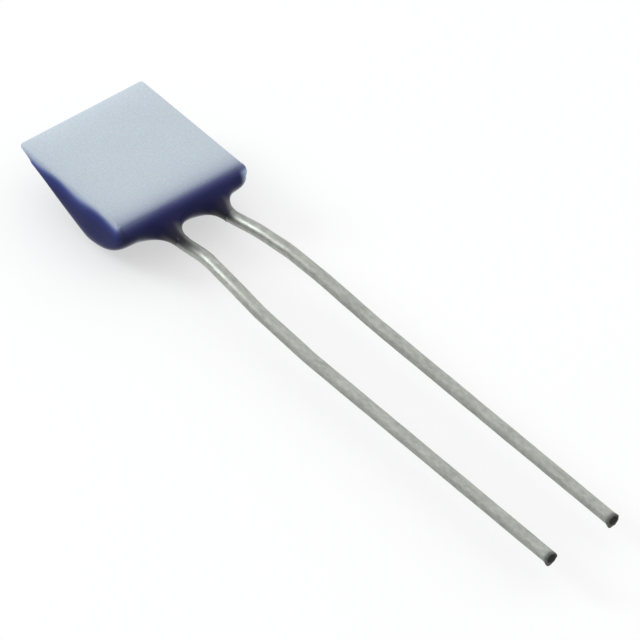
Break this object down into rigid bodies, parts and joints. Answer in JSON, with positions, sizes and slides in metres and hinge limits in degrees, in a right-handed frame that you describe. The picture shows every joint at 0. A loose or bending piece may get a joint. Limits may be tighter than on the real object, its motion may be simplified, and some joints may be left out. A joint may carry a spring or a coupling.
{
  "type": "rtd temperature sensor",
  "caption": "Thin-film platinum resistance temperature element: a small pale ceramic chip with dark blue fixing glass along its lead end and bare, round, parallel wire leads.",
  "frame": {"origin": "centre of the bare ceramic face", "axes": "+X across the chip to the right lead, +Y along the leads from their tips towards the chip, +Z out of the bare ceramic face"},
  "size_m": [0.0022, 0.0114, 0.0009],
  "materials": {
    "alumina": "fine matte, fired and snapped",
    "platinum_film": "bright thin metal film",
    "pad_metal": "satin thick metal film",
    "glaze": "thin clear glaze",
    "fixing_glass": "dark cobalt blue glass, glossy and fire-polished",
    "lead_metal": "satin drawn wire, dull along its straight part"
  },
  "bodies": {
    "root": {"ceramic_substrate": "alumina", "platinum_track": "platinum_film", "contact_pad_left": "pad_metal", "contact_pad_right": "pad_metal", "cover_glaze": "glaze", "glass_bead": "fixing_glass", "lead_wire_left": "lead_metal", "lead_wire_right": "lead_metal"}
  },
  "joints": []
}
